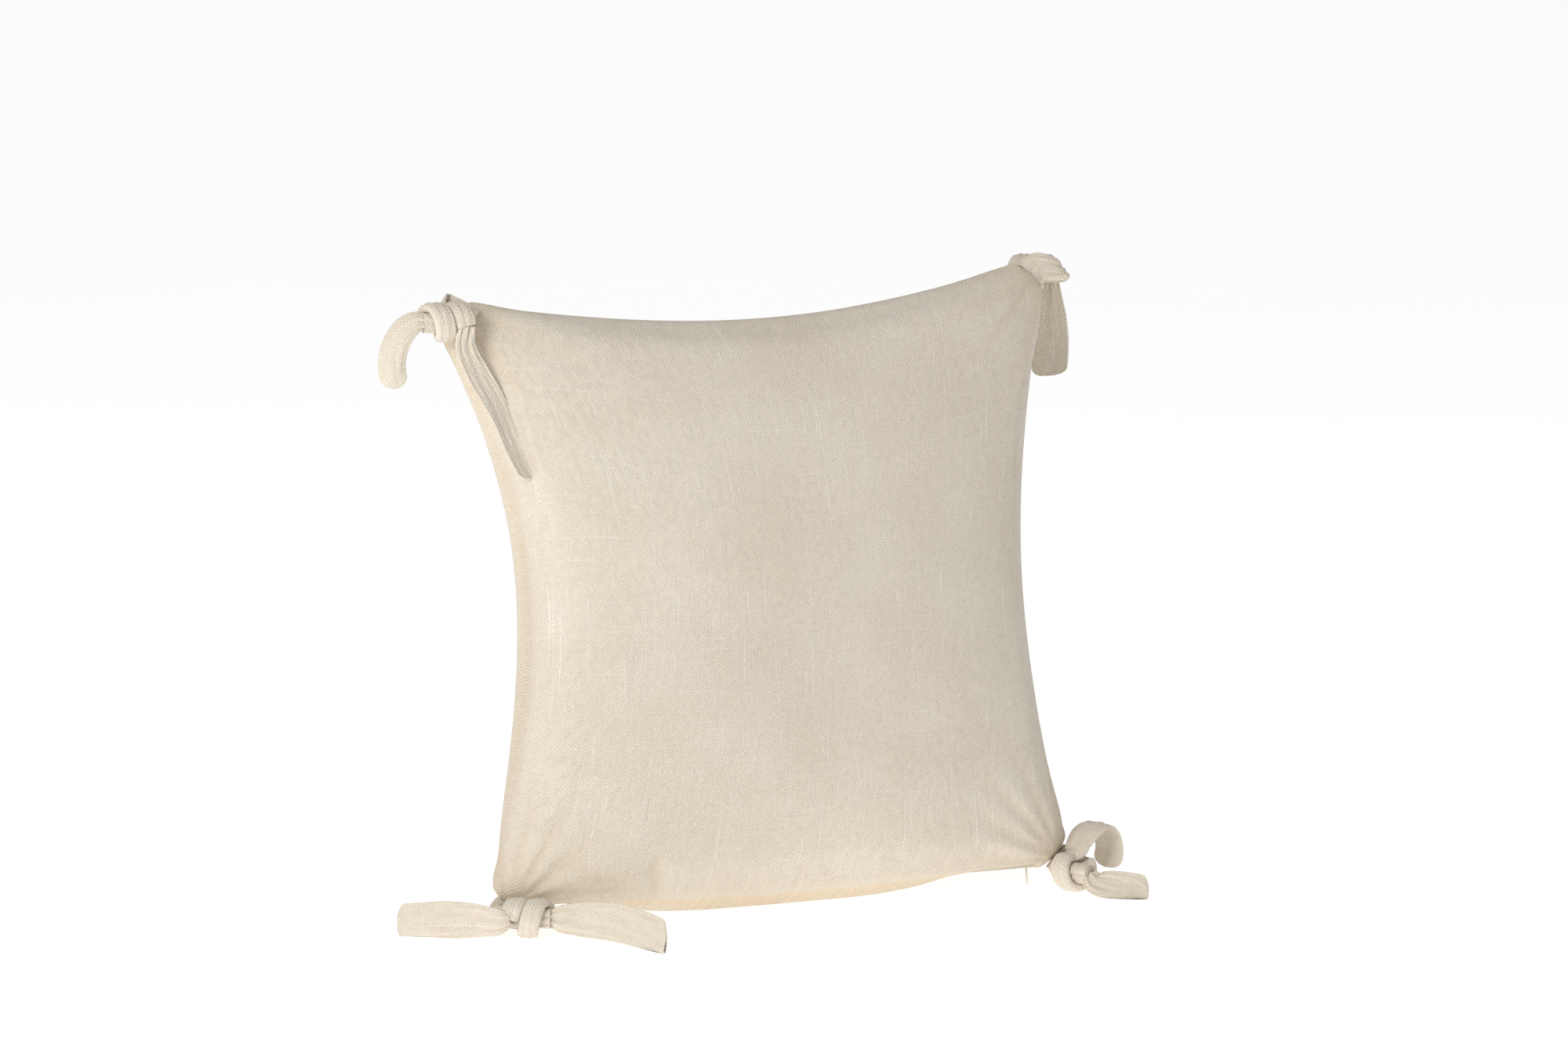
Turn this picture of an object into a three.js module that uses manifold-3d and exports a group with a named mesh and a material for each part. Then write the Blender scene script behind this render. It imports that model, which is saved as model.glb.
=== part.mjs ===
// Square floor cushion: a zipped cotton cover over a fibre-filled insert, with a pair of
// knotted cloth ties sewn into each corner. It stands on its zipped edge, leaning back a little.
// Millimetres, +X to the cushion's right, +Y to its back, +Z up. The origin is at the middle of
// the bottom of the model's box.
import * as THREE from 'three';
import { ConvexGeometry } from 'three/addons/geometries/ConvexGeometry.js';
import { mergeVertices } from 'three/addons/utils/BufferGeometryUtils.js';
import Module from 'manifold-3d';

const wasm = await Module();
wasm.setup();

// ---- Driving dimensions ----
const coverWidth = 640; // side to side over the filled corners
const coverHeight = 615; // bottom corners to top corners, filled
const cushionDepth = 200; // front belly to back belly
const leanBack = 8.7; // degrees from upright
const bottomLift = 12; // floor to the bottom corners
const cornerCut = 34; // length of each side lost where the ties cross the corner
const cornerCrown = 8; // how far the cut corner still bows outwards
const leftWaist = 60; // how far each side is drawn in between its corners
const rightWaist = 48;
const topWaist = 36;
const bellyFullness = 2.4; // exponent of the dome: higher is fuller towards the seams

const coverThickness = 1.5;
const seamAllowance = 13; // width of cloth turned in behind each seam
const seamGap = 0.3; // between the two turned-in edges
const clearance = 0.35; // between pieces that touch
const tieGap = 0.55; // between a tie and what it lies on

const casingThickness = 0.9;
const insertInset = 17; // cover seam to casing seam
const fillingInset = 18; // casing seam to the edge of the filling

const zipLength = 500;
const zipHeight = 17; // floor to the zip
const zipFromRight = 8; // end of the zip to the start of the corner
const zipSlit = 1.8; // between the two folded lips
const tapeThickness = 0.4;
const tapeWidth = 10.5;
const tapeSpacing = 7.8; // between the inner faces of the two tapes
const coilWidth = 1.6;
const coilHeight = 1.5;
const coilGap = 1.4;
const sliderLength = 9;
const sliderNeck = 0.8;
const pullLength = 11;
const pullWidth = 4.6;
const pullThickness = 1;

const tieWidth = 38; // a tie lying flat
const tieThickness = 4; // both layers, turned and pressed
const tieMouth = 7.6; // opening between the panels where a pair of ties is sewn in
const tieRootWidth = 30;
const bunchRadius = 9.5; // a tie gathered into a round strand
const wrapThickness = 9.5; // the strand that is wound round the other
const wrapWidth = 20;
const floorLevel = 0;

const gridCells = 16;

// ---- Materials ----
const cotton = new THREE.MeshStandardMaterial({ color: 0xebe0c9, roughness: 0.95 });
const cottonTie = new THREE.MeshStandardMaterial({ color: 0xeee3cf, roughness: 0.95 });
const casingCloth = new THREE.MeshStandardMaterial({ color: 0xf4f2ee, roughness: 0.9 });
const fibre = new THREE.MeshStandardMaterial({ color: 0xffffff, roughness: 1 });
const zipTape = new THREE.MeshStandardMaterial({ color: 0xe9dfc8, roughness: 0.85 });
const nylon = new THREE.MeshStandardMaterial({ color: 0xede5d2, roughness: 0.45 });
const lacquer = new THREE.MeshStandardMaterial({ color: 0xe4dac3, roughness: 0.4, metalness: 0.3 });

// ---- Small geometry tools ----
const vec = (x, y, z) => new THREE.Vector3(x, y, z);
const mix = THREE.MathUtils.lerp;

function geometryOf(triangles) {
  const flat = triangles.flatMap((p) => [p.x, p.y, p.z]);
  const loose = new THREE.BufferGeometry();
  loose.setAttribute('position', new THREE.Float32BufferAttribute(flat, 3));
  return mergeVertices(loose, 1e-3);
}

function quad(list, a, b, c, d) {
  list.push(a, b, c, a, c, d);
}

function boxGeometry(low, high) {
  const size = high.clone().sub(low);
  const box = new THREE.BoxGeometry(size.x, size.y, size.z);
  const centre = low.clone().add(high).multiplyScalar(0.5);
  return box.translate(centre.x, centre.y, centre.z);
}

function solidOf(geometry) {
  const bare = geometry.clone();
  bare.deleteAttribute('normal');
  bare.deleteAttribute('uv');
  const merged = mergeVertices(bare, 1e-3);
  return new wasm.Manifold(new wasm.Mesh({
    numProp: 3,
    vertProperties: new Float32Array(merged.attributes.position.array),
    triVerts: new Uint32Array(merged.index.array),
  }));
}

// The largest body of a solid, as a geometry: a cut can leave small offcuts behind.
function largestBody(solid) {
  return solid.decompose().sort((a, b) => b.volume() - a.volume())[0];
}

function bareGeometry(solid) {
  const mesh = solid.getMesh();
  const geometry = new THREE.BufferGeometry();
  geometry.setAttribute('position', new THREE.BufferAttribute(mesh.vertProperties, 3));
  geometry.setIndex(new THREE.BufferAttribute(mesh.triVerts, 1));
  return geometry;
}

function geometryFromSolid(solid) {
  const welded = solidOf(bareGeometry(largestBody(solid).simplify(0.1)));
  return bareGeometry(largestBody(welded.simplify(0.3)));
}

function shellGeometry(solid) {
  const welded = solidOf(bareGeometry(largestBody(solid).simplify(0.02)));
  return bareGeometry(largestBody(welded.simplify(0.02)));
}

function cutAway(solid, cutters) {
  return geometryFromSolid(cutters.reduce((left, cutter) => left.subtract(cutter), solid));
}

function namedMesh(name, geometry, material) {
  const mesh = new THREE.Mesh(geometry, material);
  mesh.name = name;
  return mesh;
}

// ---- Outline of the filled cover, in its seam plane (x across, z up) ----
// Each corner settles a little away from the sewn square.
const halfWidth = coverWidth / 2;
const outlineTop = bottomLift + coverHeight;
const settled = {
  bottomLeft: vec(-halfWidth + 15, 0, bottomLift - 4),
  bottomRight: vec(halfWidth - 4, 0, bottomLift + 2),
  topLeft: vec(-halfWidth - 5, 0, outlineTop - 16),
  topRight: vec(halfWidth + 7, 0, outlineTop + 1),
};

// Where a side begins once the corner is cut across.
function sideStart(corner, towards) {
  const along = towards.clone().sub(corner).normalize();
  return corner.clone().addScaledVector(along, cornerCut);
}

// The middle of a cut corner, with its small outward crown.
function cornerMiddle(corner, neighbourA, neighbourB) {
  const middle = sideStart(corner, neighbourA).add(sideStart(corner, neighbourB)).multiplyScalar(0.5);
  const outward = corner.clone().sub(middle).normalize();
  return middle.addScaledVector(outward, cornerCrown);
}

const mouthMiddle = {
  bottomLeft: cornerMiddle(settled.bottomLeft, settled.bottomRight, settled.topLeft),
  bottomRight: cornerMiddle(settled.bottomRight, settled.bottomLeft, settled.topRight),
  topLeft: cornerMiddle(settled.topLeft, settled.topRight, settled.bottomLeft),
  topRight: cornerMiddle(settled.topRight, settled.topLeft, settled.bottomRight),
};

// One side between its two cut corners: a bow of a given depth, deepest past its middle
// where skew is over 1. The zipped side runs straight at the zip's height instead.
function bowedSide(fromCorner, toCorner, inward, depth, skew = 1) {
  const start = sideStart(fromCorner, toCorner);
  const end = sideStart(toCorner, fromCorner);
  return (t) => start.clone().lerp(end, t)
    .addScaledVector(inward, depth * Math.sin(Math.PI * t ** skew));
}

const zipRight = settled.bottomRight.x - cornerCut - zipFromRight;
const zipLeft = zipRight - zipLength;
const zipRampLeft = 14;

function zippedSide(t) {
  const start = sideStart(settled.bottomLeft, settled.bottomRight);
  const end = sideStart(settled.bottomRight, settled.bottomLeft);
  const point = start.clone().lerp(end, t);
  const fromLeft = THREE.MathUtils.smoothstep(point.x, start.x, zipLeft - zipRampLeft);
  const fromRight = THREE.MathUtils.smoothstep(-point.x, -end.x, -zipRight);
  point.z = mix(mix(start.z, zipHeight, fromLeft), mix(end.z, zipHeight, fromRight), t > 0.5 ? 1 : 0);
  return point;
}

const sides = {
  bottom: { side: zippedSide, from: 'bottomLeft', to: 'bottomRight' },
  top: { side: bowedSide(settled.topLeft, settled.topRight, vec(0, 0, -1), topWaist),
    from: 'topLeft', to: 'topRight' },
  left: { side: bowedSide(settled.bottomLeft, settled.topLeft, vec(1, 0, 0), leftWaist, 1.15),
    from: 'bottomLeft', to: 'topLeft' },
  right: { side: bowedSide(settled.bottomRight, settled.topRight, vec(-1, 0, 0), rightWaist),
    from: 'bottomRight', to: 'topRight' },
};

const cornerShare = 0.04; // share of each side's parameter that covers half a cut corner

function outlinePoint(name, u) {
  const { side, from, to } = sides[name];
  if (u < cornerShare) return mouthMiddle[from].clone().lerp(side(0), u / cornerShare);
  if (u > 1 - cornerShare) return mouthMiddle[to].clone().lerp(side(1), (1 - u) / cornerShare);
  return side((u - cornerShare) / (1 - 2 * cornerShare));
}

// A point of the seam plane from two parameters between 0 and 1, blended from the four sides.
function planePoint(u, v) {
  const bottom = outlinePoint('bottom', u).multiplyScalar(1 - v);
  const top = outlinePoint('top', u).multiplyScalar(v);
  const left = outlinePoint('left', v).multiplyScalar(1 - u);
  const right = outlinePoint('right', v).multiplyScalar(u);
  return bottom.add(top).add(left).add(right)
    .addScaledVector(mouthMiddle.bottomLeft, -(1 - u) * (1 - v))
    .addScaledVector(mouthMiddle.bottomRight, -u * (1 - v))
    .addScaledVector(mouthMiddle.topLeft, -(1 - u) * v)
    .addScaledVector(mouthMiddle.topRight, -u * v);
}

function insetPoint(u, v, inset) {
  const shareX = inset / coverWidth;
  const shareZ = inset / coverHeight;
  return planePoint(mix(shareX, 1 - shareX, u), mix(shareZ, 1 - shareZ, v));
}

// Height of the dome over the seam plane, from 0 at the seam to `rise` at the middle.
function domeHeight(u, v, rise) {
  const across = 1 - Math.abs(2 * u - 1) ** bellyFullness;
  const up = 1 - Math.abs(2 * v - 1) ** bellyFullness;
  return rise * Math.sqrt(Math.max(0, across * up));
}

// How far the back sinks: the cushion's weight presses the lower part of its back flat on
// the floor behind the zip, and the dome is whole again further up.
const seatFront = 0.08; // share of the height over which the back comes down to the floor
const seatTop = 0.16; // share of the height up to which it lies flat
const seatEnd = 0.48; // share of the height at which the dome is whole again
const seatSides = 0.3; // share of the width over which the flat begins at each side
const seatLeft = 0.02; // share of its height above the floor that the flat keeps

function sinkage(side, u, v) {
  if (side < 0) return 0;
  const { smoothstep } = THREE.MathUtils;
  const behind = domeHeight(u, v, cushionDepth / 2);
  const height = planePoint(u, v).z - behind * Math.tan(THREE.MathUtils.degToRad(leanBack));
  const upwards = smoothstep(v, 0, seatFront) * (1 - smoothstep(v, seatTop, seatEnd));
  const across = smoothstep(u, cornerShare, seatSides) * smoothstep(1 - u, cornerShare, seatSides);
  return (1 - seatLeft) * upwards * across * height;
}

// ---- Stations of the grid, with one at each end of the zip ----
const bottomStart = sideStart(settled.bottomLeft, settled.bottomRight).x;
const bottomEnd = sideStart(settled.bottomRight, settled.bottomLeft).x;
const shareAtX = (x) => mix(cornerShare, 1 - cornerShare, (x - bottomStart) / (bottomEnd - bottomStart));
const zipShareLeft = shareAtX(zipLeft);
const zipShareRight = shareAtX(zipRight);

function gridStations(cells) {
  const inner = cells - 4;
  const list = [0, cornerShare];
  for (let i = 0; i <= inner; i += 1) list.push(mix(zipShareLeft, zipShareRight, i / inner));
  return list.concat([1 - cornerShare, 1]);
}

// Perimeter of a square grid, in order: bottom, right, top, left.
function perimeterOf(stations) {
  const forward = stations.slice(0, -1);
  const backward = [...stations].reverse().slice(0, -1);
  return [
    ...forward.map((u) => [u, 0]),
    ...forward.map((v) => [1, v]),
    ...backward.map((u) => [u, 1]),
    ...backward.map((v) => [0, v]),
  ];
}

// ---- Domed shells: the cover's panels and the insert's casing ----
// A shell is a dome over the seam plane, hollowed by an inner dome, with an allowance turned
// in round its edge. The channel between the allowances of the two panels is cut free, and
// it is wider behind the zip and the mouths. `side` is -1 for the front and 1 for the back.
const foldEdge = 0.1; // height of the cloth's folded edge along the seam
const beyondSeam = 3; // how far a cutter runs past the seam plane

function domedShell({ side, inset, rise, thickness, opening, allowance, cells }) {
  const stations = gridStations(cells);
  const at = (u, v, depth, offset) => {
    const point = insetPoint(u, v, inset + depth);
    point.y = side * offset;
    point.z -= sinkage(side, u, v);
    return point;
  };
  const onRim = (u, v) => Math.min(u, 1 - u, v, 1 - v) === 0;
  const domePoint = (u, v, lip) => at(u, v, 0, lip + foldEdge + domeHeight(u, v, rise - foldEdge));
  const outerPoint = (u, v) => domePoint(u, v, opening(u, v).lip);
  const underPoint = (u, v) => at(u, v, 0, onRim(u, v) ? opening(u, v).lip : seamGap / 2);
  const innerPoint = (u, v) => {
    const { lip, turned, deeper } = opening(u, v);
    if (onRim(u, v)) {
      return at(u, v, 1.5 * thickness + 0.7 * (turned - lip - 0.1) + deeper, turned + thickness);
    }
    const small = 0.001;
    const alongU = domePoint(u + small, v, lip).sub(domePoint(u - small, v, lip));
    const alongV = domePoint(u, v + small, lip).sub(domePoint(u, v - small, lip));
    const inwards = alongV.cross(alongU).normalize().multiplyScalar(-side);
    return outerPoint(u, v).addScaledVector(inwards, thickness);
  };
  const openPoint = (u, v) => innerPoint(u, v).setY(-side * beyondSeam);

  const ringFaces = (triangles, rings, face, closed) => rings.forEach((ring, k) => {
    const next = rings[(k + 1) % rings.length];
    for (let r = 0; r < ring.length - (closed ? 0 : 1); r += 1) {
      const after = (r + 1) % ring.length;
      face(triangles, next[r], ring[r], ring[after], next[after]);
    }
  });
  const face = (list, a, b, c, d) => (side < 0 ? quad(list, a, b, c, d) : quad(list, d, c, b, a));

  // A solid between a domed grid and a grid under it.
  const domed = (top, under) => {
    const triangles = [];
    for (let i = 0; i < stations.length - 1; i += 1) {
      for (let j = 0; j < stations.length - 1; j += 1) {
        const [u0, u1, v0, v1] = [stations[i], stations[i + 1], stations[j], stations[j + 1]];
        face(triangles, top(u0, v0), top(u1, v0), top(u1, v1), top(u0, v1));
        face(triangles, under(u0, v0), under(u0, v1), under(u1, v1), under(u1, v0));
      }
    }
    ringFaces(triangles, perimeterOf(stations).map(([u, v]) => [top(u, v), under(u, v)]), face, false);
    return solidOf(geometryOf(triangles));
  };

  // A band round the edge, whose section is a closed list of depths and heights.
  const band = (section) => {
    const triangles = [];
    const rings = perimeterOf(stations)
      .map(([u, v]) => section(opening(u, v)).map(([depth, offset]) => at(u, v, depth, offset)));
    ringFaces(triangles, rings, face, true);
    return solidOf(geometryOf(triangles));
  };

  const filled = domed(outerPoint, underPoint);
  const cavity = domed(innerPoint, openPoint);
  const turnedIn = band(({ turned }) => [
    [0.7 * thickness, turned], [allowance, turned],
    [allowance, turned + thickness], [0.7 * thickness, turned + thickness],
  ]);
  const channel = band(({ lip, turned, deeper }) => [
    [0.6 * thickness, -beyondSeam], [allowance + 1, -beyondSeam], [allowance + 1, turned],
    [0.8 * thickness + 0.55 * (turned - lip - 0.1) + 0.4 * deeper, turned], [0.6 * thickness, lip],
  ]);
  const shell = filled.subtract(cavity).add(turnedIn.intersect(filled)).subtract(channel);
  return shellGeometry(shell);
}

// Half-opening between the two panels at a point of the seam: a plain seam, the zip's lips, or
// the mouth that holds a pair of ties. Behind the zip and the mouths the allowance stands far
// enough apart for the zip's tapes.
const allowanceAtZip = tapeSpacing / 2 + tapeThickness + 2 * clearance;
const cornerDepth = 4.5; // how much further in the fold lies behind a mouth

function coverOpening(u, v) {
  const inCorner = Math.min(u, 1 - u) <= cornerShare + 1e-6 && Math.min(v, 1 - v) <= cornerShare + 1e-6;
  if (inCorner) return { lip: tieMouth / 2, turned: allowanceAtZip, deeper: cornerDepth };
  const onZip = v < 0.02 && u > zipShareLeft - 1e-6 && u < zipShareRight + 1e-6;
  if (onZip) return { lip: zipSlit / 2, turned: allowanceAtZip, deeper: 0 };
  return plainOpening();
}

const plainOpening = () => ({ lip: seamGap / 2, turned: seamGap / 2 + 0.1, deeper: 0 });

const coverShell = (side) => domedShell({
  side,
  inset: 0,
  rise: cushionDepth / 2 - seamGap / 2,
  thickness: coverThickness,
  opening: coverOpening,
  allowance: seamAllowance,
  cells: gridCells,
});

const casingRise = cushionDepth / 2 - coverThickness - clearance - 0.3;

const casingShell = (side) => domedShell({
  side,
  inset: insertInset,
  rise: casingRise,
  thickness: casingThickness,
  opening: plainOpening,
  allowance: 6,
  cells: gridCells,
});

// A closed lens: two domes over one outline, with an upright rim of a given half height.
function lensGeometry(inset, rise, rim, cells) {
  const stations = gridStations(cells);
  const triangles = [];
  const point = (side, u, v) => {
    const place = insetPoint(u, v, inset);
    place.y = side * (rim + domeHeight(u, v, rise - rim));
    place.z -= sinkage(side, u, v);
    return place;
  };
  for (let i = 0; i < stations.length - 1; i += 1) {
    for (let j = 0; j < stations.length - 1; j += 1) {
      const [u0, u1, v0, v1] = [stations[i], stations[i + 1], stations[j], stations[j + 1]];
      quad(triangles, point(-1, u0, v0), point(-1, u1, v0), point(-1, u1, v1), point(-1, u0, v1));
      quad(triangles, point(1, u0, v1), point(1, u1, v1), point(1, u1, v0), point(1, u0, v0));
    }
  }
  const edge = perimeterOf(stations);
  edge.forEach(([u, v], k) => {
    const [nextU, nextV] = edge[(k + 1) % edge.length];
    quad(triangles, point(-1, nextU, nextV), point(-1, u, v), point(1, u, v), point(1, nextU, nextV));
  });
  return geometryOf(triangles);
}

const fillingRim = 1.5;
const fillingGeometry = () => lensGeometry(
  insertInset + fillingInset,
  casingRise - casingThickness - 0.9,
  fillingRim,
  gridCells,
);

// ---- Concealed zip in the bottom seam ----
const zipStopLength = 2;
const coilBase = zipHeight + 4.9;
const legTop = coilBase - clearance;
const sliderTopGap = clearance;
const sliderRest = zipRight - zipStopLength - sliderLength / 2 - 2;

// An L-shaped tape: one leg stands against the turned-in cloth, the other carries the coil.
function zipTapeGeometry(side) {
  const outer = tapeSpacing / 2 + tapeThickness;
  const inner = tapeSpacing / 2;
  const tip = coilGap / 2 + 0.3;
  const base = legTop - tapeThickness;
  const corners = [
    [tip, base], [outer, base], [outer, base + tapeWidth],
    [inner, base + tapeWidth], [inner, legTop], [tip, legTop],
  ];
  const shape = new THREE.Shape(corners.map(([y, z]) => new THREE.Vector2(side * y, z)));
  const geometry = new THREE.ExtrudeGeometry(shape, { depth: zipLength, bevelEnabled: false });
  return standAlongX(geometry, zipLeft);
}

// Turns an extrusion of a (y, z) outline so that it runs along +X from a given place.
function standAlongX(geometry, start) {
  const turn = new THREE.Matrix4().makeBasis(vec(0, 1, 0), vec(0, 0, 1), vec(1, 0, 0));
  return geometry.applyMatrix4(turn).translate(start, 0, 0);
}

function coilGeometry(side) {
  const shape = new THREE.Shape();
  const middleY = side * (coilGap + coilWidth) / 2;
  shape.absellipse(middleY, coilBase + coilHeight / 2, coilWidth / 2, coilHeight / 2, 0, 2 * Math.PI);
  const length = zipLength - 2 * zipStopLength - 2 * clearance;
  const settings = { depth: length, bevelEnabled: false, curveSegments: 8 };
  return standAlongX(new THREE.ExtrudeGeometry(shape, settings), zipLeft + zipStopLength + clearance);
}

function zipStopGeometry(start) {
  const half = coilGap / 2 + coilWidth;
  return boxGeometry(vec(start, -half, coilBase), vec(start + zipStopLength, half, coilBase + coilHeight));
}

// The slider straddles the coils from inside; its neck passes between them and the lips.
const lugBottom = zipHeight - 2.2;

function sliderGeometry() {
  const half = sliderLength / 2;
  const roofBottom = coilBase + coilHeight + sliderTopGap;
  const wallInner = coilGap / 2 + coilWidth + clearance;
  const wallOuter = tapeSpacing / 2 - clearance;
  const roof = boxGeometry(vec(-half, -wallOuter, roofBottom), vec(half, wallOuter, roofBottom + 1));
  const walls = [-1, 1].map((side) => {
    const [near, far] = [side * wallInner, side * wallOuter].sort((a, b) => a - b);
    return boxGeometry(vec(-half, near, coilBase), vec(half, far, roofBottom + 0.5));
  });
  const neck = boxGeometry(vec(-1, -sliderNeck / 2, lugBottom), vec(1, sliderNeck / 2, roofBottom + 0.5));
  const parts = [roof, ...walls, neck].map(solidOf);
  const joined = parts.reduce((sum, part) => sum.add(part));
  return geometryFromSolid(joined).translate(sliderRest, 0, 0);
}

// The pull is a teardrop tab that hangs from the neck by two ears, on a pin across the slider.
const pullPivot = zipHeight - 1.2;
const pinRadius = 0.35;

function pullGeometry() {
  const earInner = sliderNeck / 2 + 0.3;
  const earOuter = pullWidth / 2;
  const earTop = pullPivot + 0.6;
  const yokeTop = lugBottom - 0.4;
  const ears = [-1, 1].map((side) => {
    const [near, far] = [side * earInner, side * earOuter].sort((a, b) => a - b);
    return boxGeometry(vec(-0.5, near, yokeTop - 0.8), vec(0.5, far, earTop));
  });
  const blade = new THREE.Shape();
  const half = pullWidth / 2;
  blade.moveTo(-half, yokeTop);
  blade.lineTo(-half * 0.8, yokeTop - pullLength + half);
  blade.absarc(0, yokeTop - pullLength + half, half * 0.8, Math.PI, 2 * Math.PI, false);
  blade.lineTo(half, yokeTop);
  const settings = { depth: pullThickness, bevelEnabled: false, curveSegments: 8 };
  const tab = standAlongX(new THREE.ExtrudeGeometry(blade, settings), -pullThickness / 2);
  const joined = [tab, ...ears].map(solidOf).reduce((sum, part) => sum.add(part));
  return geometryFromSolid(joined).translate(sliderRest, 0, 0);
}

// ---- Ties ----
// A strip is swept along stations that each give its centre, width, thickness and the
// direction of its width. Both ends are rounded in the plane of the strip's thickness.
const linkOverlap = 0.4;
const knotLinks = 16;
const tailLinks = 8;

function stripSolid(stations, { samples = knotLinks, sides: sidesRound = 8, grow = 0 } = {}) {
  const path = new THREE.CatmullRomCurve3(stations.map((s) => s.at), false, 'centripetal');
  const steps = stations.length - 1;
  const acrosses = [stations[0].across];
  stations.slice(1).forEach(({ across }, i) => {
    acrosses.push(across.clone().multiplyScalar(across.dot(acrosses[i]) < 0 ? -1 : 1));
  });
  const widthDirection = (t) => {
    const place = t * steps;
    const i = Math.min(Math.floor(place), steps - 1);
    return acrosses[i].clone().lerp(acrosses[i + 1], place - i).normalize();
  };
  const measure = (t, key) => {
    const place = t * steps;
    const i = Math.min(Math.floor(place), steps - 1);
    return mix(stations[i][key], stations[i + 1][key], place - i);
  };
  const ringAt = (t, shrink, push) => {
    const tangent = path.getTangent(t);
    const across = widthDirection(t);
    across.addScaledVector(tangent, -across.dot(tangent)).normalize();
    const normal = tangent.clone().cross(across);
    const centre = path.getPoint(t).addScaledVector(tangent, push);
    const half = vec(measure(t, 'width') / 2 + grow, measure(t, 'thickness') / 2 + grow, 0);
    return Array.from({ length: sidesRound }, (_, k) => {
      const angle = 2 * Math.PI * (k + 0.5) / sidesRound;
      return centre.clone()
        .addScaledVector(across, half.x * Math.cos(angle) * shrink.x)
        .addScaledVector(normal, half.y * Math.sin(angle) * shrink.y);
    });
  };
  // Neighbouring links run a little way into each other, so that they join without a seam.
  const endRadius = (t) => measure(t, 'thickness') / 2 + grow;
  const full = vec(1, 1, 0);
  const links = [];
  for (let i = 0; i < samples; i += 1) {
    const [near, far] = [i / samples, (i + 1) / samples];
    links.push([...ringAt(near, full, -linkOverlap), ...ringAt(far, full, linkOverlap)]);
  }
  [[0, -1], [1, 1]].forEach(([t, outward]) => {
    const shoulder = ringAt(t, vec(0.96, 0.9, 0), outward * 0.43 * endRadius(t));
    const tip = ringAt(t, vec(0.86, 0.6, 0), outward * 0.8 * endRadius(t));
    links.push([...ringAt(t, full, -outward * linkOverlap), ...shoulder, ...tip]);
  });
  return links
    .map((points) => solidOf(new ConvexGeometry(points)))
    .reduce((sum, link) => sum.add(link));
}

const station = (at, width, thickness, across) => ({ at, width, thickness, across });

const lean = new THREE.Matrix4().makeRotationX(THREE.MathUtils.degToRad(-leanBack));
const leaned = (point) => point.clone().applyMatrix4(lean);
const flatten = (x, y, z) => vec(x, y, z).normalize();

// Each corner: where its knot lies from the middle of its mouth, the direction of the strand
// that runs straight through, the turns that the other strand makes round it (negative turns
// run the other way), the layer of the straight strand's root in the mouth (-1 in front), and
// the two free tails. A tail's points are measured from the knot.
const cornerTies = [
  {
    name: 'top_left', corner: 'topLeft', knot: vec(-14, -33, -8),
    axis: flatten(-1, 0, 0), turns: -1.5, layer: -1,
    through: { name: 'back', swing: { axis: flatten(0.3, 1, 0), degrees: 75 },
      across: [flatten(0.3, 1, 0), flatten(0.3, 1, 0)],
      tail: [vec(-30, 0, 1), vec(-41, 3, -6), vec(-50, 8, -25), vec(-51, 12, -43), vec(-46, 15, -63)] },
    wound: { name: 'front', swing: { axis: flatten(-1, 0, 0), degrees: 75 },
      across: [flatten(1, 0, 0), flatten(0.5, 0.85, 0)],
      tail: [vec(14, -15, -22), vec(26, -17, -50), vec(43, -21, -81), vec(60, -27, -122),
        vec(71, -34, -150)] },
  },
  {
    name: 'top_right', corner: 'topRight', knot: vec(13, 28, -6),
    axis: flatten(-0.85, 0.53, 0), turns: 1.5, layer: -1,
    through: { name: 'rear', swing: { axis: flatten(0.53, 0.85, 0), degrees: 60 },
      across: [flatten(0.53, 0.85, 0), flatten(0.53, 0.85, 0)],
      tail: [vec(-25, 16, -2), vec(-29, 20, -16), vec(-30, 23, -42), vec(-28, 22, -70), vec(-26, 18, -98)] },
    wound: { name: 'outer', swing: { axis: flatten(0.85, -0.53, 0), degrees: 60 },
      across: [flatten(0.85, -0.53, 0), flatten(0.85, -0.53, 0)],
      tail: [vec(20, 5, -22), vec(22, 7, -44), vec(24, 9, -68), vec(23, 8, -88), vec(20, 6, -106)] },
  },
  {
    name: 'bottom_left', corner: 'bottomLeft', knot: vec(12, -34, 0.5),
    axis: flatten(0.84, -0.54, 0), turns: 1.5, layer: 1,
    through: { name: 'right', swing: { axis: vec(0, 0, -1), degrees: 60 },
      across: [vec(0, 0, 1), flatten(0.15, 0.2, 1)],
      tail: [vec(25, -17, 0), vec(46, -30, 0), vec(68, -55, 0), vec(83, -90, -3), vec(91, -127, -7)] },
    wound: { name: 'left', swing: { axis: vec(0, 0, 1), degrees: 60 },
      across: [vec(0, 0, -1), flatten(-0.1, 0.2, -1)],
      tail: [vec(-30, -2, -1), vec(-48, 14, -1), vec(-72, 32, -2), vec(-94, 47, -4), vec(-112, 58, -6)] },
  },
  {
    name: 'bottom_right', corner: 'bottomRight', knot: vec(-5, -34, -5.5),
    axis: flatten(0.4, -0.9, 0), turns: -0.85, layer: 1,
    through: { name: 'front', swing: { axis: vec(0, 0, 1), degrees: 45 },
      across: [flatten(0.5, 0.2, 0.8), flatten(0.4, 0.15, 0.9)],
      tail: [vec(12, -27, -6), vec(20, -41, -8), vec(31, -52, -10), vec(43, -60, -12), vec(52, -66, -14)] },
    wound: { name: 'upper', swing: { axis: flatten(0.4, -0.9, 0), degrees: 30 },
      across: [flatten(0.4, -0.9, 0), flatten(0.4, -0.9, 0)],
      tail: [vec(8, 9, 17), vec(14, 13, 26), vec(25, 17, 37), vec(40, 22, 42), vec(52, 27, 32), vec(57, 29, 14),
        vec(53, 29, -4)] },
  },
];

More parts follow.
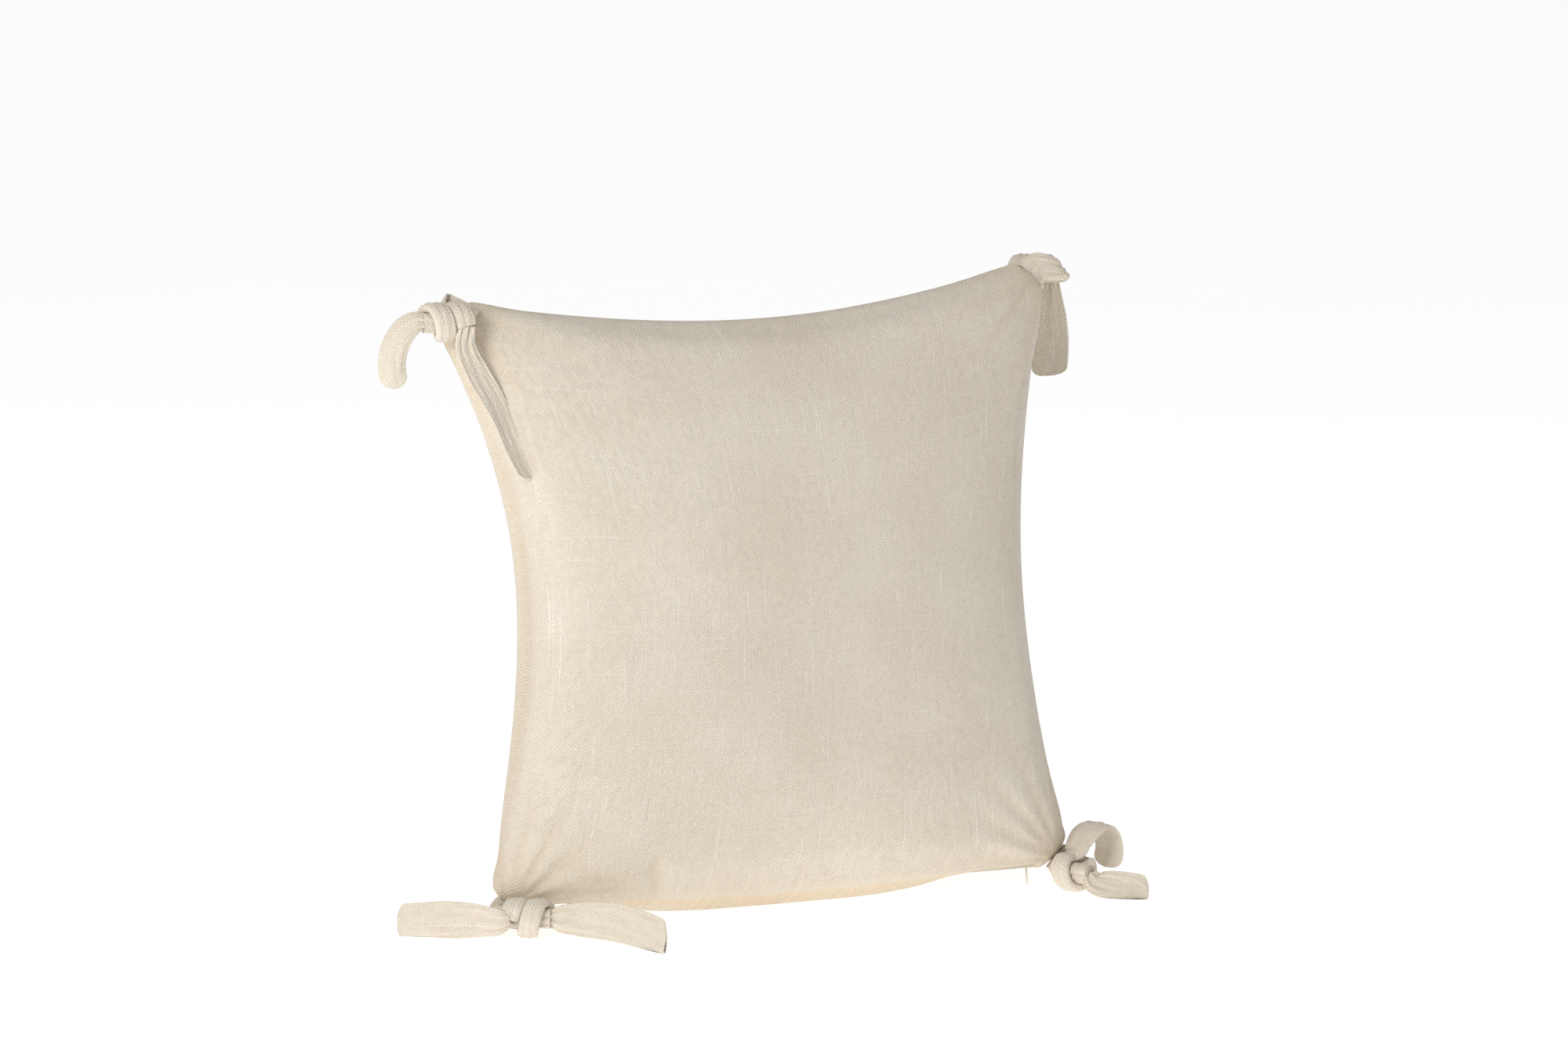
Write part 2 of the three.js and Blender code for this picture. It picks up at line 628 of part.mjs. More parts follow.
// The knot's own directions: along the straight strand, towards the cushion, and across both.
function knotFrame(tie) {
  const mouth = leaned(mouthMiddle[tie.corner]);
  const centre = mouth.clone().add(tie.knot);
  const along = tie.axis.clone();
  const inward = mouth.clone().sub(centre);
  inward.addScaledVector(along, -inward.dot(along)).normalize();
  const over = along.clone().cross(inward);
  const outward = mouthMiddle[tie.corner].clone().sub(vec(0, 0, outlineTop / 2));
  outward.y = 0;
  const planeOut = vec(Math.sign(outward.x), 0, Math.sign(outward.z)).normalize().applyMatrix4(lean);
  const planeAcross = vec(0, 1, 0).applyMatrix4(lean).cross(planeOut);
  const planeNormal = vec(0, 1, 0).applyMatrix4(lean);
  return { mouth, centre, along, inward, over, planeOut, planeAcross, planeNormal };
}

// The flat root of a strip, sewn between the two panels. `layer` is -1 in front, 1 behind.
function rootStations(frame, layer) {
  const offset = layer * (tieMouth / 4 - clearance / 8);
  const thickness = tieMouth / 2 - 1.2 * clearance;
  const place = (out) => frame.mouth.clone()
    .addScaledVector(frame.planeOut, out)
    .addScaledVector(frame.planeNormal, offset);
  return [
    station(place(-6), tieRootWidth, thickness, frame.planeAcross),
    station(place(3), tieRootWidth, thickness, frame.planeAcross),
  ];
}

const coreHalf = 23; // half the length of the straight strand inside the knot

function throughStations(tie) {
  const frame = knotFrame(tie);
  const { centre, along, inward } = frame;
  const on = (s, p) => centre.clone().addScaledVector(along, s).addScaledVector(inward, p);
  const round = 2 * bunchRadius;
  return [
    ...rootStations(frame, tie.layer),
    station(on(-coreHalf - 7, 14), 20, 8, frame.planeAcross),
    station(on(-coreHalf + 1, 2), round, 11, frame.over),
    station(on(0, 0), round, round, frame.over),
    station(on(coreHalf, 0), round, 0.8 * round, frame.over),
  ];
}

function woundStations(tie) {
  const frame = knotFrame(tie);
  const { centre, along, inward, over } = frame;
  const radius = bunchRadius + clearance + wrapThickness / 2;
  const pitch = wrapWidth + 0.8;
  const turns = Math.abs(tie.turns);
  const hand = Math.sign(tie.turns);
  const list = rootStations(frame, -tie.layer);
  const steps = Math.round(turns * 8);
  for (let i = 0; i <= steps; i += 1) {
    const turn = turns * i / steps;
    const angle = hand * 2 * Math.PI * turn;
    const at = centre.clone()
      .addScaledVector(along, pitch * (turns / 2 - turn))
      .addScaledVector(inward, radius * Math.cos(angle))
      .addScaledVector(over, radius * Math.sin(angle));
    list.push(station(at, wrapWidth, wrapThickness, along.clone().multiplyScalar(hand)));
  }
  return list;
}

// A free tail: it carries on from its strand's end in the knot, narrow there and at full width
// past its middle, with a rounded tip.
function tailStations(tie, strand, knotStations) {
  const { centre } = knotFrame(tie);
  const last = strand.tail.length;
  const leaving = knotStations.at(-1).at.clone().sub(centre);
  return [leaving, ...strand.tail].map((offset, i) => {
    const t = i / last;
    const fullness = i === last ? 0 : Math.sin(Math.PI * Math.min(0.5, 0.8 * t));
    const width = tieWidth * mix(0.42, 0.98, fullness);
    const thickness = mix(2 * bunchRadius * 0.45, tieThickness, Math.min(1, 2 * t));
    const across = strand.across[0].clone().lerp(strand.across[1], t);
    return station(centre.clone().add(offset), width, thickness, across);
  });
}

// ---- Assembly ----
const cushion = new THREE.Group();
const standing = new THREE.Group();
standing.rotation.x = THREE.MathUtils.degToRad(-leanBack);

standing.add(namedMesh('cover_front_panel', coverShell(-1), cotton));
standing.add(namedMesh('cover_back_panel', coverShell(1), cotton));
standing.add(namedMesh('insert_casing_front', casingShell(-1), casingCloth));
standing.add(namedMesh('insert_casing_back', casingShell(1), casingCloth));
standing.add(namedMesh('insert_filling', fillingGeometry(), fibre));
standing.add(namedMesh('zip_tape_front', zipTapeGeometry(-1), zipTape));
standing.add(namedMesh('zip_tape_back', zipTapeGeometry(1), zipTape));
standing.add(namedMesh('zip_coil_front', coilGeometry(-1), nylon));
standing.add(namedMesh('zip_coil_back', coilGeometry(1), nylon));
standing.add(namedMesh('zip_top_stop', zipStopGeometry(zipRight - zipStopLength), lacquer));
standing.add(namedMesh('zip_bottom_stop', zipStopGeometry(zipLeft), lacquer));
standing.add(namedMesh('zip_slider', sliderGeometry(), lacquer));
standing.add(namedMesh('zip_pull', pullGeometry(), lacquer));
cushion.add(standing);

// Cutters that keep each tie clear of the filled cover, apart from the mouths that hold the
// roots, and of the floor.
const slotHalf = vec(60, tieMouth / 2 - clearance, 60);
const mouthSlot = boxGeometry(slotHalf.clone().negate(), slotHalf);
const filledCover = Object.values(mouthMiddle).reduce(
  (left, at) => left.subtract(solidOf(mouthSlot.clone().translate(at.x, at.y, at.z))),
  solidOf(lensGeometry(-tieGap, cushionDepth / 2 + tieGap, tieMouth / 2 + tieGap, gridCells)),
);
const coverCutter = solidOf(bareGeometry(filledCover).applyMatrix4(lean));
const floorCutter = solidOf(boxGeometry(vec(-2000, -2000, -200), vec(2000, 2000, floorLevel)));
const keepClear = [coverCutter, floorCutter];

// A tail swings from where its strand leaves the knot. What it would run into on the way is
// cut from it, at steps of its swing.
const swingStep = 7.5; // degrees

function turnAbout(pivot, axis, degrees) {
  const turn = new THREE.Matrix4().makeRotationAxis(axis, THREE.MathUtils.degToRad(degrees));
  const there = new THREE.Matrix4().makeTranslation(pivot.x, pivot.y, pivot.z);
  const back = new THREE.Matrix4().makeTranslation(-pivot.x, -pivot.y, -pivot.z);
  return there.multiply(turn).multiply(back);
}

function sweptClear(pivot, swing, cutter) {
  const steps = Math.round(swing.degrees / swingStep);
  return Array.from({ length: steps + 1 }, (_, i) => (
    solidOf(bareGeometry(cutter).applyMatrix4(turnAbout(pivot, swing.axis, -i * swingStep)))
  ));
}

cornerTies.forEach((tie) => {
  const through = throughStations(tie);
  const wound = woundStations(tie);
  const knotA = cutAway(stripSolid(through), keepClear);
  const grownA = stripSolid(through, { grow: tieGap });
  const knotB = cutAway(stripSolid(wound), [...keepClear, grownA]);
  const grownB = stripSolid(wound, { grow: tieGap });
  const inTheWay = coverCutter.add(grownA).add(grownB);
  const tails = [[tie.through, through], [tie.wound, wound]].map(([strand, knotStations]) => {
    const pivot = knotStations.at(-1).at;
    const solid = stripSolid(tailStations(tie, strand, knotStations), { samples: tailLinks });
    const cutters = [floorCutter, ...sweptClear(pivot, strand.swing, inTheWay)];
    const tail = namedMesh(`tie_${tie.name}_${strand.name}_tail`, cutAway(solid, cutters), cottonTie);
    tail.userData = { pivot, axis: strand.swing.axis, degrees: strand.swing.degrees };
    return tail;
  });
  cushion.add(namedMesh(`tie_${tie.name}_${tie.through.name}_knot`, knotA, cottonTie));
  cushion.add(namedMesh(`tie_${tie.name}_${tie.wound.name}_knot`, knotB, cottonTie));
  cushion.add(...tails);
});

// The origin goes to the middle of the bottom of the whole model's box.
cushion.updateMatrixWorld(true);
const box = new THREE.Box3().setFromObject(cushion, true);
cushion.position.set(-(box.min.x + box.max.x) / 2, -(box.min.y + box.max.y) / 2, -box.min.z);

const model = new THREE.Group();
model.add(cushion);
export default model;
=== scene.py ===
"""A square floor cushion in a cream cotton cover, with knotted cloth ties at its corners."""
import math

import bpy
import numpy as np
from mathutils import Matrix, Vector


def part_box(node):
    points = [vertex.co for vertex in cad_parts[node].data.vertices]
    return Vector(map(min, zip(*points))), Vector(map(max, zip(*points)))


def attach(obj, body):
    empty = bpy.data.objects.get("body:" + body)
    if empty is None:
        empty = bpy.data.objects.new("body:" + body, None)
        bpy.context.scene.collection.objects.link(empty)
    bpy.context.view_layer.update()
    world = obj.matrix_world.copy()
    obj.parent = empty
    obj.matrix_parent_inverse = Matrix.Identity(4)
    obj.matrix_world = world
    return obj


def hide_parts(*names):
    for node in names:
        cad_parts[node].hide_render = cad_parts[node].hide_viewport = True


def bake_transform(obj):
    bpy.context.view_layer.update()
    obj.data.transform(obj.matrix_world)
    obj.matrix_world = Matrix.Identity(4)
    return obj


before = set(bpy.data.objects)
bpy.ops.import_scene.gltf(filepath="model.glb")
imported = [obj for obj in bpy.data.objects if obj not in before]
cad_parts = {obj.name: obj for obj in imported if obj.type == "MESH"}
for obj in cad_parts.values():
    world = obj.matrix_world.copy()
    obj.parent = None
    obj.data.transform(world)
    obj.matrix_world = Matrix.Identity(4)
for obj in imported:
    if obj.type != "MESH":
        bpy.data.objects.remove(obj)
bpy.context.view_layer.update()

# ---------------------------------------------------------------------------------------
# How the cushion stands. It rests on its zipped edge and leans back a little. Places are
# given upright first, with the seam at y = 0 and the floor at z = 0, and then leaned.
LEAN = math.radians(8.7)
ZIP_LEFT, ZIP_RIGHT, ZIP_HEIGHT = -0.226, 0.274, 0.017
STOP_HALF, STOP_BASE = 0.0023, ZIP_HEIGHT + 0.0049
stop_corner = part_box("zip_bottom_stop")[0]
PLACE = np.array([
    stop_corner.x - ZIP_LEFT,
    stop_corner.y + STOP_HALF * math.cos(LEAN) - STOP_BASE * math.sin(LEAN),
    0.0,
])


def leaned(points):
    """Upright points turned about the x axis by the lean: y gains z times its sine, and z
    loses y times its sine."""
    points = np.asarray(points, float)
    x, y, z = points[..., 0], points[..., 1], points[..., 2]
    c, s = math.cos(LEAN), math.sin(LEAN)
    return np.stack([x, y * c + z * s, z * c - y * s], axis=-1)


# ---------------------------------------------------------------------------------------
# The cover: two panels of slubby cream cotton, sewn together right round and turned, with
# each corner cut across for its pair of ties. The filling domes it, so that its sides pull
# in between the corners and its flanks roll out past the seam.
WIDTH, HEIGHT, DEPTH = 0.640, 0.615, 0.200
LIFT, CORNER_CUT, CORNER_CROWN, CORNER_SHARE = 0.012, 0.034, 0.008, 0.04
TOP = LIFT + HEIGHT
BL = np.array([-WIDTH / 2 + 0.015, LIFT - 0.004])
BR = np.array([WIDTH / 2 - 0.004, LIFT + 0.002])
TL = np.array([-WIDTH / 2 - 0.005, TOP - 0.016])
TR = np.array([WIDTH / 2 + 0.007, TOP + 0.001])


def cut_start(corner, towards):
    """Where a corner's cut meets the side that runs towards another corner."""
    along = towards - corner
    return corner + along / np.linalg.norm(along) * CORNER_CUT


def corner_middle(corner, one, other):
    """Middle of a cut corner: halfway between its two cuts, pushed out by its crown."""
    middle = (cut_start(corner, one) + cut_start(corner, other)) / 2
    out = corner - middle
    return middle + out / np.linalg.norm(out) * CORNER_CROWN


MOUTH = {
    "bottom_left": corner_middle(BL, BR, TL),
    "bottom_right": corner_middle(BR, BL, TR),
    "top_left": corner_middle(TL, TR, BL),
    "top_right": corner_middle(TR, TL, BR),
}


def smoothstep(x, low, high):
    """0 up to `low`, 1 from `high`, and 3 t^2 - 2 t^3 in between."""
    t = np.clip((x - low) / (high - low), 0, 1)
    return t * t * (3 - 2 * t)


def bell(distance, reach):
    """1 at no distance, falling as e to the minus square of the distance over the reach."""
    return np.exp(-(distance / reach) ** 2)


def bowed(corner, far, inward, depth, skew=1.0):
    """A side between two cuts: the straight line plus `inward` times the depth times the sine
    of pi times the share of the way, raised to `skew`."""
    a, b = cut_start(corner, far), cut_start(far, corner)
    inward = np.array(inward, float)
    return lambda t: a + (b - a) * t[..., None] + inward * (depth * np.sin(np.pi * t ** skew))[..., None]


def zipped(t):
    """The bottom side: it eases from each cut to the zip's height and runs straight there."""
    a, b = cut_start(BL, BR), cut_start(BR, BL)
    point = a + (b - a) * t[..., None]
    x = point[..., 0]
    from_left = smoothstep(x, a[0], ZIP_LEFT - 0.014)
    from_right = smoothstep(-x, -b[0], -ZIP_RIGHT)
    left, right = a[1] + (ZIP_HEIGHT - a[1]) * from_left, b[1] + (ZIP_HEIGHT - b[1]) * from_right
    return np.stack([x, np.where(t > 0.5, right, left)], axis=-1)


SIDES = {
    "bottom": (zipped, "bottom_left", "bottom_right"),
    "top": (bowed(TL, TR, (0, -1), 0.036), "top_left", "top_right"),
    "left": (bowed(BL, TL, (1, 0), 0.060, 1.15), "bottom_left", "top_left"),
    "right": (bowed(BR, TR, (-1, 0), 0.048), "bottom_right", "top_right"),
}


def outline(name, u):
    """A side with half a cut corner at each end: the share u runs over the cut first."""
    side, start, end = SIDES[name]
    point = side(np.clip((u - CORNER_SHARE) / (1 - 2 * CORNER_SHARE), 0, 1))
    near = np.clip(1 - u / CORNER_SHARE, 0, 1)[..., None]
    far = np.clip(1 - (1 - u) / CORNER_SHARE, 0, 1)[..., None]
    return point * (1 - near - far) + MOUTH[start] * near + MOUTH[end] * far


def seam_plane(u, v):
    """Coons patch: the blends of facing sides, added, less the blend of the four corners."""
    a, b = u[..., None], v[..., None]
    across = outline("bottom", u) * (1 - b) + outline("top", u) * b
    upward = outline("left", v) * (1 - a) + outline("right", v) * a
    corners = (
        MOUTH["bottom_left"] * (1 - a) * (1 - b) + MOUTH["bottom_right"] * a * (1 - b)
        + MOUTH["top_left"] * (1 - a) * b + MOUTH["top_right"] * a * b
    )
    return across + upward - corners


def dome(u, v, rise):
    """The rise times the root of the product of 1 less each centred share to the power 2.4."""
    across = 1 - np.abs(2 * u - 1) ** 2.4
    up = 1 - np.abs(2 * v - 1) ** 2.4
    return rise * np.sqrt(np.clip(across * up, 0, None))


# Shares of the cover at which the seat on the floor is whole, starts to fade and has faded,
# the share of its width that each end takes to sink, and the share of its height that is left.
SEAT_FRONT, SEAT_TOP, SEAT_END, SEAT_SIDES, SEAT_LEFT = 0.08, 0.16, 0.48, 0.3, 0.02


def sinkage(u, v):
    """How far the lower back sinks on to the floor: its height there, times how much it is
    pressed, which rises from the seam, stays whole over the seat and fades up the dome."""
    height = seam_plane(u, v)[..., 1] - dome(u, v, DEPTH / 2) * math.tan(LEAN)
    upwards = smoothstep(v, 0, SEAT_FRONT) * (1 - smoothstep(v, SEAT_TOP, SEAT_END))
    across = smoothstep(u, CORNER_SHARE, SEAT_SIDES) * smoothstep(1 - u, CORNER_SHARE, SEAT_SIDES)
    return (1 - SEAT_LEFT) * upwards * across * height


def ripple(s, wave, phase):
    """A sine along s whose own phase wanders with a wave six times as long."""
    return np.sin(2 * np.pi * s / wave + phase + 1.4 * np.sin(2 * np.pi * s / (6.3 * wave) + 2 * phase))


FLANK_ROLL, BOTTOM_ROLL, FLANK_PLACE = 0.010, 0.013, 0.022
PUCKER_WAVE, PUCKER_HEIGHT, PUCKER_START, PUCKER_REACH = 0.019, 0.0009, 0.01, 0.022
SEAM_SHADE, MOUTH_SHADE = 0.007, 0.05
PLEAT_PLACE, PLEAT_REACH, LONG_FOLD_PLACE, LONG_FOLD_REACH = 0.055, 0.062, 0.12, 0.09
SOFT_WAVE, CREASE_DEPTH, SLANT_DEPTH, SEAM_CALM = 0.0016, 0.0050, 0.0030, 0.012
PLEATS = {  # at each mouth: how many fine folds fan out of it, and how deep the deepest is
    "bottom_left": (17, 0.0022),
    "bottom_right": (19, 0.0016),
    "top_left": (13, 0.0010),
    "top_right": (14, 0.0010),
}


def cover_surface(u, v, side, rise, inset=0.0, creased=1.0):
    """Points of one panel, with the painted shade of each in creases, puckers and pleats, at the seam
    and round the mouths. The seam plane's point goes out past the seam by a roll that peaks near the
    edge, the dome gives its height, and soft waves, fans of pleats at the mouths and small puckers along
    the seam are added to it."""
    su, sv = inset + (1 - 2 * inset) * u, inset + (1 - 2 * inset) * v
    plane = seam_plane(su, sv)
    x, z = plane[..., 0], plane[..., 1]
    height = dome(u, v, rise)
    along_u, along_v = [np.sin(np.pi * np.clip(share, 0, 1)) ** 0.7 for share in (u, v)]
    # The painted shade of each point: how far its colour goes towards ochre.
    painted_shade = np.zeros_like(u)
    wave = np.zeros_like(u)
    for distance, along, s, (dx, dz) in (
        (u, along_v, v, (-1, 0)), (1 - u, along_v, v + 0.37, (1, 0)),
        (v, along_u, u + 0.61, (0, -1)), (1 - v, along_u, u + 0.83, (0, 1)),
    ):
        roll = FLANK_ROLL * along * distance / FLANK_PLACE * np.exp(1 - distance / FLANK_PLACE)
        x = x + dx * roll * creased
        z = z + dz * roll * (BOTTOM_ROLL / FLANK_ROLL if dz < 0 else 1.0) * creased
        puckers = ripple(s * WIDTH, PUCKER_WAVE, 1.7 * side + 9 * dx) * np.exp(-distance / PUCKER_REACH)
        wave += PUCKER_HEIGHT * along * puckers * distance / (distance + PUCKER_START)
        # Painted shade along the seam and in the hollows of the puckers.
        painted_shade += along * np.exp(-distance / SEAM_SHADE) + 0.25 * np.clip(-puckers, 0, 1)
    for number, (name, (count, deep)) in enumerate(PLEATS.items()):
        px, pz = MOUTH[name]
        radius = np.hypot(x - px, z - pz)
        angle = np.arctan2(z - pz, x - px)
        reach = bell(radius - PLEAT_PLACE, PLEAT_REACH)
        pleat = np.sin(count * angle + 2.3 * number + 1.1 * side + 9 * radius + np.sin(5 * angle))
        long_fold = np.sin(6 * angle + 1.9 * number + side)
        long_fold *= bell(radius - LONG_FOLD_PLACE, LONG_FOLD_REACH)
        wave += deep * reach * pleat + 0.8 * deep * long_fold
        # Painted shade round the mouth and in the hollows of the pleats.
        painted_shade += 0.5 * bell(radius, MOUTH_SHADE) + 0.45 * reach * np.clip(-pleat, 0, 1)
    middle = np.clip(height / rise, 0, 1)
    broad = (np.sin(19 * x + 7 * z + side) * np.sin(13 * z - 5 * x + 1.3)
             + 0.6 * np.sin(31 * z + 11 * x + 2 * side))
    wave += SOFT_WAVE * middle * broad
    if side < 0:  # low on the left, one upright crease and a shallow one that slants from it
        crease = bell(x + 0.150 + 0.16 * (z - 0.03), 0.0042) * smoothstep(-z, -0.085, -0.03)
        slant = bell(z - 0.040 + 0.55 * (x + 0.200), 0.009) * bell(x + 0.205, 0.05)
        wave -= middle ** 0.5 * (CREASE_DEPTH * crease + SLANT_DEPTH * slant)
        # Painted shade in the upright crease and the slanting one.
        painted_shade += 0.6 * crease + 0.35 * slant
    y = side * (height + creased * wave * np.clip(height / SEAM_CALM, 0, 1))
    if side > 0:
        z = z - sinkage(u, v)
    return np.stack([x, y, z], axis=-1), np.clip(painted_shade, 0, 1)


def stations(count):
    """Shares from 0 to 1, closer together near both ends: half even, half along a cosine."""
    t = np.linspace(0, 1, count)
    return 0.5 * t + 0.25 * (1 - np.cos(np.pi * t))


def mesh_object(name, points, faces, uv=None, painted_shade=None):
    """A smooth object at the origin, from points and a list of faces. `uv` places each point
    on the flat cloth, and the last list gives the painted shade at each point, in creases and at seams."""
    mesh = bpy.data.meshes.new(name)
    mesh.from_pydata(np.asarray(points).tolist(), [], faces)
    if uv is not None:
        corners = np.zeros(len(mesh.loops), int)
        mesh.loops.foreach_get("vertex_index", corners)
        layer = mesh.uv_layers.new(name="cloth")
        layer.data.foreach_set("uv", np.asarray(uv, float)[corners].ravel())
    if painted_shade is not None:
        # Painted shade of each point, as a point attribute for the material's ochre.
        layer = mesh.attributes.new("painted_shade", "FLOAT", "POINT")
        layer.data.foreach_set("value", np.asarray(painted_shade, float))
    mesh.polygons.foreach_set("use_smooth", np.ones(len(mesh.polygons), bool))
    mesh.update()
    made = bpy.data.objects.new(name, mesh)
    bpy.context.scene.collection.objects.link(made)
    return made


FLAT_WIDTH = 0.65


def lens(name, count, rise, inset=0.0, creased=1.0):
    """Two panels over one outline, closed into one skin: they share the points of their edge."""
    s = stations(count)
    u, v = [grid.ravel() for grid in np.meshgrid(s, s, indexing="ij")]
    front, front_painted_shade = cover_surface(u, v, -1, rise, inset, creased)
    back, back_painted_shade = cover_surface(u, v, 1, rise, inset, creased)
    index = np.arange(count * count).reshape(count, count)
    rim = (u == 0) | (u == 1) | (v == 0) | (v == 1)
    back_index = np.where(rim, index.ravel(), count * count + np.cumsum(~rim) - 1).reshape(count, count)
    a, b, c, d = index[:-1, :-1], index[1:, :-1], index[1:, 1:], index[:-1, 1:]
    front_quads = np.stack([a, b, c, d], -1).reshape(-1, 4)
    a, b, c, d = back_index[:-1, :-1], back_index[:-1, 1:], back_index[1:, 1:], back_index[1:, :-1]
    back_quads = np.stack([a, b, c, d], -1).reshape(-1, 4)
    points = np.concatenate([front, back[~rim]])
    flat = np.stack([u, v], -1) * FLAT_WIDTH
    uv = np.concatenate([flat, flat[~rim]])
    # The painted shade of both panels, kept with their points.
    painted_shade = np.concatenate([front_painted_shade, back_painted_shade[~rim]])
    quads = np.concatenate([front_quads, back_quads]).tolist()
    return mesh_object(name, leaned(points) + PLACE, quads, uv, painted_shade)


def points_of(thing):
    """The points of an object's mesh, one row each."""
    flat = np.zeros(len(thing.data.vertices) * 3)
    thing.data.vertices.foreach_get("co", flat)
    return flat.reshape(-1, 3)


FLOOR_GAP = 0.0008


def inflate(thing, pressure, frames, most):
    """Cloth simulation: the filling presses the closed cover out, with no gravity, and no
    point ends further than `most` from where it began, or below the floor. The result is
    put in the mesh."""
    scene = bpy.context.scene
    start = points_of(thing)
    cloth = thing.modifiers.new("filling", "CLOTH")
    cloth.settings.quality = 5
    cloth.settings.mass = 0.3
    cloth.settings.tension_stiffness = 18
    cloth.settings.compression_stiffness = 18
    cloth.settings.shear_stiffness = 6
    cloth.settings.bending_stiffness = 0.4
    cloth.settings.use_pressure = True
    cloth.settings.uniform_pressure_force = pressure
    cloth.settings.effector_weights.gravity = 0
    cloth.collision_settings.use_collision = False
    cloth.point_cache.frame_start = 1
    cloth.point_cache.frame_end = frames
    for number in range(1, frames + 1):
        scene.frame_set(number)
    swollen = points_of(thing.evaluated_get(bpy.context.evaluated_depsgraph_get()))
    thing.modifiers.remove(cloth)
    scene.frame_set(1)
    move = swollen - start
    length = np.linalg.norm(move, axis=1, keepdims=True)
    move *= np.minimum(1, most / np.maximum(length, 1e-9))
    settled = start + move
    settled[:, 2] = np.maximum(settled[:, 2], FLOOR_GAP)
    thing.data.vertices.foreach_set("co", settled.ravel())
    thing.data.update()


class Wire:
    """A node's output, with the arithmetic that a pattern needs."""

    def __init__(self, tree, socket):
        self.tree, self.socket = tree, socket

    def math(self, operation, other=0.0):
        return node(self.tree, "ShaderNodeMath", {"operation": operation}, {0: self, 1: other})

    def __add__(self, other):
        return self.math("ADD", other)

    def __mul__(self, other):
        return self.math("MULTIPLY", other)

    def __sub__(self, other):
        return self.math("SUBTRACT", other)

    def __rsub__(self, other):
        return self.math("MULTIPLY", -1.0).math("ADD", other)

    __radd__, __rmul__ = __add__, __mul__


def node(tree, kind, settings=None, inputs=None, output=0):
    """Adds a node: its settings first, then its sockets' values or links. Returns an output."""
    made = tree.nodes.new(kind)
    for key, value in (settings or {}).items():
        setattr(made, key, value)
    for key, value in (inputs or {}).items():
        if isinstance(value, Wire):
            tree.links.new(value.socket, made.inputs[key])
        else:
            made.inputs[key].default_value = value
    return Wire(tree, made.outputs[output])


def ramp(wire, low, high):
    """0 below `low` and 1 above `high`, with a soft step between them."""
    return node(wire.tree, "ShaderNodeMapRange", {"interpolation_type": "SMOOTHSTEP"},
                {"Value": wire, "From Min": low, "From Max": high})


def blend(tree, factor, one, other):
    """Two colours, mixed by a factor."""
    return node(tree, "ShaderNodeMix", {"data_type": "RGBA"}, {0: factor, 6: one, 7: other}, output=2)


def noise(where, stretch, detail=2.0):
    """Noise over coordinates that are each stretched by their own factor."""
    tree = where.tree
    place = node(tree, "ShaderNodeMapping", {}, {"Vector": where, "Scale": stretch})
    return node(tree, "ShaderNodeTexNoise", {}, {"Vector": place, "Scale": 1.0, "Detail": detail})


def new_material(name, roughness, **constants):
    """A material with one shader; the constants are set on the sockets that bear their names."""
    material = bpy.data.materials.new(name)
    material.use_nodes = True
    tree = material.node_tree
    tree.nodes.clear()
    shader = tree.nodes.new("ShaderNodeBsdfPrincipled")
    output = tree.nodes.new("ShaderNodeOutputMaterial")
    tree.links.new(shader.outputs[0], output.inputs[0])
    shader.inputs["Roughness"].default_value = roughness
    for key, value in constants.items():
        shader.inputs[key.replace("_", " ")].default_value = value
    return material, tree, shader


TWILL_PITCH, YARN_PITCH = 0.0034, 0.0011


def slubby_cotton(name):
    """Cotton in a broken twill: short diagonals that change hand in patches, thick slubs
    that run up the cloth and thinner ones across it, and painted shade: a warm ochre down in the folds."""
    material, tree, shader = new_material(
        name, 0.92, Specular_IOR_Level=0.25, Sheen_Weight=0.25, Sheen_Roughness=0.5)
    where = node(tree, "ShaderNodeUVMap", {"uv_map": "cloth"})
    parts = tree.nodes.new("ShaderNodeSeparateXYZ")
    tree.links.new(where.socket, parts.inputs[0])
    x, y = Wire(tree, parts.outputs[0]), Wire(tree, parts.outputs[1])
    waver = noise(where, (110, 110, 1), 2.0) * 0.0050
    rising = ((x + y + waver) * (2 * math.pi / TWILL_PITCH)).math("SINE")
    falling = ((x - y + waver) * (2 * math.pi / TWILL_PITCH)).math("SINE")
    patches = ramp(noise(where, (120, 70, 1), 1.0), 0.45, 0.55)
    twill = patches * rising + (1 - patches) * falling
    yarns = ((x + waver * 0.3) * (2 * math.pi / YARN_PITCH)).math("SINE")
    slubs = ramp(noise(where, (420, 5, 1), 2.0), 0.60, 0.72)
    fine_slubs = ramp(noise(where, (700, 14, 1), 1.0), 0.57, 0.71)
    across = ramp(noise(where, (8, 330, 1), 2.0), 0.60, 0.74)
    grain = noise(where, (1500, 1500, 1), 3.0)
    cloud = noise(where, (9, 9, 1), 3.0)
    lift = (twill * 0.40 + yarns * 0.08 + slubs * 0.55 + fine_slubs * 0.30 + across * 0.25
            + grain * 0.5)
    cream, pale = (0.745, 0.668, 0.555, 1), (0.850, 0.800, 0.700, 1)
    dusk, painted_shade_ochre = (0.655, 0.575, 0.462, 1), (0.700, 0.535, 0.345, 1)
    colour = blend(tree, ramp(twill + grain * 0.8, -0.6, 1.2), dusk, cream)
    colour = blend(tree, ramp(cloud, 0.25, 0.85) * 0.35, colour, pale)
    colour = blend(tree, slubs * 0.75, colour, pale)
    colour = blend(tree, (fine_slubs + across) * 0.35, colour, pale)
    # Painted shade: the colour warms and darkens towards ochre where the mesh's attribute marks creases,
    # seams, pleats and mouths.
    depth = node(tree, "ShaderNodeAttribute", {"attribute_name": "painted_shade"}, output=2)
    colour = blend(tree, depth * 0.55, colour, painted_shade_ochre)
    tree.links.new(colour.socket, shader.inputs["Base Color"])
    bump = node(tree, "ShaderNodeBump", {}, {"Strength": 1.0, "Distance": 0.0006, "Height": lift})
    tree.links.new(bump.socket, shader.inputs["Normal"])
    return material


